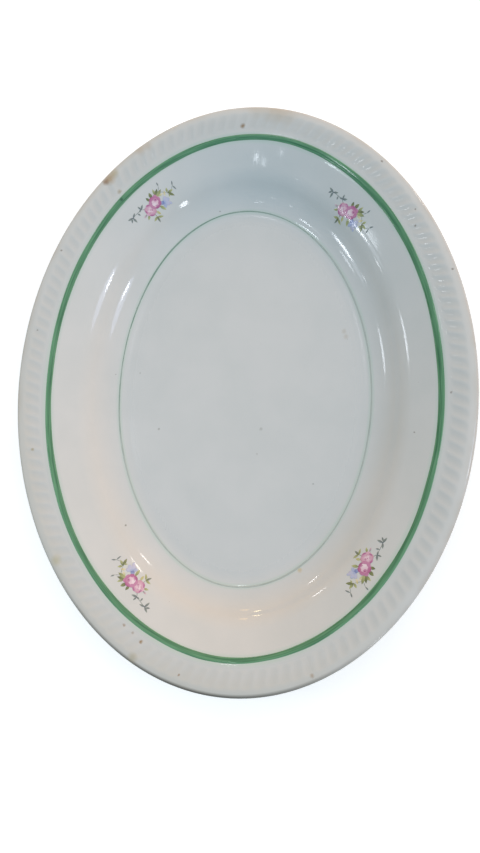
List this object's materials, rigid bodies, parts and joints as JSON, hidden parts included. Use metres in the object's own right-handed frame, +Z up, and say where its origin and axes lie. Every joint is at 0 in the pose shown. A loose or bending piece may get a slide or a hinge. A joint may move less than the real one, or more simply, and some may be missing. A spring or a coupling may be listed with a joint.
{
  "type": "earthenware platter",
  "caption": "Oval glazed earthenware platter with a flat well, an ogee wall, a slant-fluted rim, a green rim band, a thin green well line and printed rose sprays.",
  "frame": {"origin": "middle of the foot ring, on the surface the platter stands on", "axes": "+X along the platter's length, +Y along its width, +Z up out of the well"},
  "size_m": [0.3, 0.233, 0.0302],
  "materials": {
    "biscuit": "matt fired earthenware biscuit",
    "glaze": "glossy off-white earthenware glaze, slightly worn at the edge",
    "green_enamel": "glossy hand-painted green enamel",
    "printed_enamel": "glossy printed and fired enamel in pinks, greens and blue"
  },
  "bodies": {
    "root": {"earthenware_body": "biscuit", "glaze_coat": "glaze", "base_glaze": "glaze", "rim_band": "green_enamel", "well_line": "green_enamel", "rose_spray_1": "printed_enamel", "rose_spray_2": "printed_enamel", "rose_spray_3": "printed_enamel", "rose_spray_4": "printed_enamel"}
  },
  "joints": []
}
